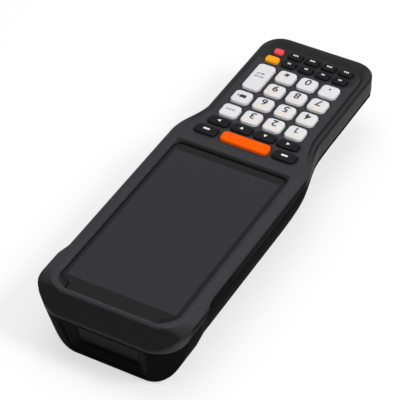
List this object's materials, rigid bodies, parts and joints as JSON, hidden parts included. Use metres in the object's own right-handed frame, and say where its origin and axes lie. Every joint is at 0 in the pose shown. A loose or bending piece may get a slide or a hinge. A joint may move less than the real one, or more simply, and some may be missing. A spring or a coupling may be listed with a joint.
{
  "type": "portable barcode data terminal",
  "caption": "Handheld data terminal with a wide screen head, a narrower keypad handle, a large scan key and a scanner window sunk in its nose.",
  "frame": {"origin": "centre of the footprint at the back's flat face", "axes": "+Y towards the scanning nose, +Z out of the screen, +X to the user's right"},
  "size_m": [0.0736, 0.213, 0.036],
  "materials": {
    "key_white": "satin moulded",
    "key_dark": "satin moulded",
    "key_orange": "satin moulded",
    "key_amber": "satin moulded",
    "key_red": "satin moulded",
    "housing_black": "fine textured",
    "display_glass": "polished, printed dark on the back",
    "display_frame": "satin",
    "seal_rubber": "matt",
    "chassis_metal": "pressed, satin",
    "circuit_board": "solder resist",
    "key_silicone": "matt",
    "engine_black": "matt",
    "scan_pane": "polished dark window",
    "frame_black": "matt",
    "battery_wrap": "satin",
    "pin_steel": "turned",
    "latch_black": "satin",
    "cover_rubber": "matt",
    "connector_metal": "plated",
    "contact_block": "satin with plated contacts",
    "speaker_plastic": "satin",
    "motor_steel": "drawn can",
    "camera_plastic": "satin",
    "camera_pane": "polished",
    "trigger_black": "satin",
    "antenna_film": "printed film",
    "screw_steel": "black zinc"
  },
  "bodies": {
    "terminal_body": {"front_housing": "housing_black", "rear_housing": "housing_black", "display_glass": "display_glass", "display_module": "display_frame", "display_gasket": "seal_rubber", "chassis_plate": "chassis_metal", "main_board": "circuit_board", "keypad_board": "circuit_board", "keypad_mat": "key_silicone", "scan_engine": "engine_black", "scan_window": "scan_pane", "scan_window_frame": "frame_black", "battery": "battery_wrap", "door_pin": "pin_steel", "port_connector": "connector_metal", "dock_connector": "contact_block", "speaker": "speaker_plastic", "vibration_motor": "motor_steel", "camera_module": "camera_plastic", "camera_window": "camera_pane", "antenna": "antenna_film", "housing_screws": "screw_steel", "housing_seal": "seal_rubber"},
    "battery_door": {"battery_door": "housing_black"},
    "battery_latch": {"battery_latch": "latch_black"},
    "port_cover": {"port_cover": "cover_rubber"},
    "trigger_left": {"trigger_left": "trigger_black"},
    "trigger_right": {"trigger_right": "trigger_black"},
    "key_scan": {"key_scan": "key_orange"},
    "key_side_left": {"key_side_left": "key_dark"},
    "key_side_right": {"key_side_right": "key_dark"},
    "key_arrow_left": {"key_arrow_left": "key_dark"},
    "key_arrow_up": {"key_arrow_up": "key_dark"},
    "key_arrow_down": {"key_arrow_down": "key_dark"},
    "key_arrow_right": {"key_arrow_right": "key_dark"},
    "key_f1": {"key_f1": "key_dark"},
    "key_f2": {"key_f2": "key_dark"},
    "key_f3": {"key_f3": "key_dark"},
    "key_f4": {"key_f4": "key_dark"},
    "key_f5": {"key_f5": "key_dark"},
    "key_f6": {"key_f6": "key_dark"},
    "key_f7": {"key_f7": "key_dark"},
    "key_f8": {"key_f8": "key_dark"},
    "key_1": {"key_1": "key_white"},
    "key_2": {"key_2": "key_white"},
    "key_3": {"key_3": "key_white"},
    "key_shift": {"key_shift": "key_white"},
    "key_4": {"key_4": "key_white"},
    "key_5": {"key_5": "key_white"},
    "key_6": {"key_6": "key_white"},
    "key_camera": {"key_camera": "key_white"},
    "key_7": {"key_7": "key_white"},
    "key_8": {"key_8": "key_white"},
    "key_9": {"key_9": "key_white"},
    "key_point": {"key_point": "key_white"},
    "key_0": {"key_0": "key_white"},
    "key_star": {"key_star": "key_white"},
    "key_enter": {"key_enter": "key_white"},
    "key_function": {"key_function": "key_amber"},
    "key_power": {"key_power": "key_red"}
  },
  "joints": [
    {"name": "battery_door_hinge", "type": "hinge", "parent": "terminal_body", "child": "battery_door", "pos_m": [0, -0.0016, 0.0026], "axis": [-1, 0, 0], "range_deg": [0, 70]},
    {"name": "battery_latch_slide", "type": "slide", "parent": "terminal_body", "child": "battery_latch", "axis": [0, -1, 0], "range_m": [0, 0.0026]},
    {"name": "port_cover_hinge", "type": "hinge", "parent": "terminal_body", "child": "port_cover", "pos_m": [0.0324, 0.0305, 0.0244], "axis": [0, 0, -1], "range_deg": [0, 90]},
    {"name": "trigger_left_press", "type": "slide", "parent": "terminal_body", "child": "trigger_left", "axis": [1, 0, 0], "range_m": [0, 0.0008], "stiffness_N_per_m": 500},
    {"name": "trigger_right_press", "type": "slide", "parent": "terminal_body", "child": "trigger_right", "axis": [-1, 0, 0], "range_m": [0, 0.0008], "stiffness_N_per_m": 500},
    {"name": "key_scan_press", "type": "slide", "parent": "terminal_body", "child": "key_scan", "axis": [0, 0, -1], "range_m": [0, 0.0008], "stiffness_N_per_m": 400},
    {"name": "key_side_left_press", "type": "slide", "parent": "terminal_body", "child": "key_side_left", "axis": [0, 0, -1], "range_m": [0, 0.0008], "stiffness_N_per_m": 400},
    {"name": "key_side_right_press", "type": "slide", "parent": "terminal_body", "child": "key_side_right", "axis": [0, 0, -1], "range_m": [0, 0.0008], "stiffness_N_per_m": 400},
    {"name": "key_arrow_left_press", "type": "slide", "parent": "terminal_body", "child": "key_arrow_left", "axis": [0, 0, -1], "range_m": [0, 0.0008], "stiffness_N_per_m": 400},
    {"name": "key_arrow_up_press", "type": "slide", "parent": "terminal_body", "child": "key_arrow_up", "axis": [0, 0, -1], "range_m": [0, 0.0008], "stiffness_N_per_m": 400},
    {"name": "key_arrow_down_press", "type": "slide", "parent": "terminal_body", "child": "key_arrow_down", "axis": [0, 0, -1], "range_m": [0, 0.0008], "stiffness_N_per_m": 400},
    {"name": "key_arrow_right_press", "type": "slide", "parent": "terminal_body", "child": "key_arrow_right", "axis": [0, 0, -1], "range_m": [0, 0.0008], "stiffness_N_per_m": 400},
    {"name": "key_f1_press", "type": "slide", "parent": "terminal_body", "child": "key_f1", "axis": [0, 0, -1], "range_m": [0, 0.0008], "stiffness_N_per_m": 400},
    {"name": "key_f2_press", "type": "slide", "parent": "terminal_body", "child": "key_f2", "axis": [0, 0, -1], "range_m": [0, 0.0008], "stiffness_N_per_m": 400},
    {"name": "key_f3_press", "type": "slide", "parent": "terminal_body", "child": "key_f3", "axis": [0, 0, -1], "range_m": [0, 0.0008], "stiffness_N_per_m": 400},
    {"name": "key_f4_press", "type": "slide", "parent": "terminal_body", "child": "key_f4", "axis": [0, 0, -1], "range_m": [0, 0.0008], "stiffness_N_per_m": 400},
    {"name": "key_f5_press", "type": "slide", "parent": "terminal_body", "child": "key_f5", "axis": [0, 0, -1], "range_m": [0, 0.0008], "stiffness_N_per_m": 400},
    {"name": "key_f6_press", "type": "slide", "parent": "terminal_body", "child": "key_f6", "axis": [0, 0, -1], "range_m": [0, 0.0008], "stiffness_N_per_m": 400},
    {"name": "key_f7_press", "type": "slide", "parent": "terminal_body", "child": "key_f7", "axis": [0, 0, -1], "range_m": [0, 0.0008], "stiffness_N_per_m": 400},
    {"name": "key_f8_press", "type": "slide", "parent": "terminal_body", "child": "key_f8", "axis": [0, 0, -1], "range_m": [0, 0.0008], "stiffness_N_per_m": 400},
    {"name": "key_1_press", "type": "slide", "parent": "terminal_body", "child": "key_1", "axis": [0, 0, -1], "range_m": [0, 0.0008], "stiffness_N_per_m": 400},
    {"name": "key_2_press", "type": "slide", "parent": "terminal_body", "child": "key_2", "axis": [0, 0, -1], "range_m": [0, 0.0008], "stiffness_N_per_m": 400},
    {"name": "key_3_press", "type": "slide", "parent": "terminal_body", "child": "key_3", "axis": [0, 0, -1], "range_m": [0, 0.0008], "stiffness_N_per_m": 400},
    {"name": "key_shift_press", "type": "slide", "parent": "terminal_body", "child": "key_shift", "axis": [0, 0, -1], "range_m": [0, 0.0008], "stiffness_N_per_m": 400},
    {"name": "key_4_press", "type": "slide", "parent": "terminal_body", "child": "key_4", "axis": [0, 0, -1], "range_m": [0, 0.0008], "stiffness_N_per_m": 400},
    {"name": "key_5_press", "type": "slide", "parent": "terminal_body", "child": "key_5", "axis": [0, 0, -1], "range_m": [0, 0.0008], "stiffness_N_per_m": 400},
    {"name": "key_6_press", "type": "slide", "parent": "terminal_body", "child": "key_6", "axis": [0, 0, -1], "range_m": [0, 0.0008], "stiffness_N_per_m": 400},
    {"name": "key_camera_press", "type": "slide", "parent": "terminal_body", "child": "key_camera", "axis": [0, 0, -1], "range_m": [0, 0.0008], "stiffness_N_per_m": 400},
    {"name": "key_7_press", "type": "slide", "parent": "terminal_body", "child": "key_7", "axis": [0, 0, -1], "range_m": [0, 0.0008], "stiffness_N_per_m": 400},
    {"name": "key_8_press", "type": "slide", "parent": "terminal_body", "child": "key_8", "axis": [0, 0, -1], "range_m": [0, 0.0008], "stiffness_N_per_m": 400},
    {"name": "key_9_press", "type": "slide", "parent": "terminal_body", "child": "key_9", "axis": [0, 0, -1], "range_m": [0, 0.0008], "stiffness_N_per_m": 400},
    {"name": "key_point_press", "type": "slide", "parent": "terminal_body", "child": "key_point", "axis": [0, 0, -1], "range_m": [0, 0.0008], "stiffness_N_per_m": 400},
    {"name": "key_0_press", "type": "slide", "parent": "terminal_body", "child": "key_0", "axis": [0, 0, -1], "range_m": [0, 0.0008], "stiffness_N_per_m": 400},
    {"name": "key_star_press", "type": "slide", "parent": "terminal_body", "child": "key_star", "axis": [0, 0, -1], "range_m": [0, 0.0008], "stiffness_N_per_m": 400},
    {"name": "key_enter_press", "type": "slide", "parent": "terminal_body", "child": "key_enter", "axis": [0, 0, -1], "range_m": [0, 0.0008], "stiffness_N_per_m": 400},
    {"name": "key_function_press", "type": "slide", "parent": "terminal_body", "child": "key_function", "axis": [0, 0, -1], "range_m": [0, 0.0008], "stiffness_N_per_m": 400},
    {"name": "key_power_press", "type": "slide", "parent": "terminal_body", "child": "key_power", "axis": [0, 0, -1], "range_m": [0, 0.0008], "stiffness_N_per_m": 400}
  ]
}
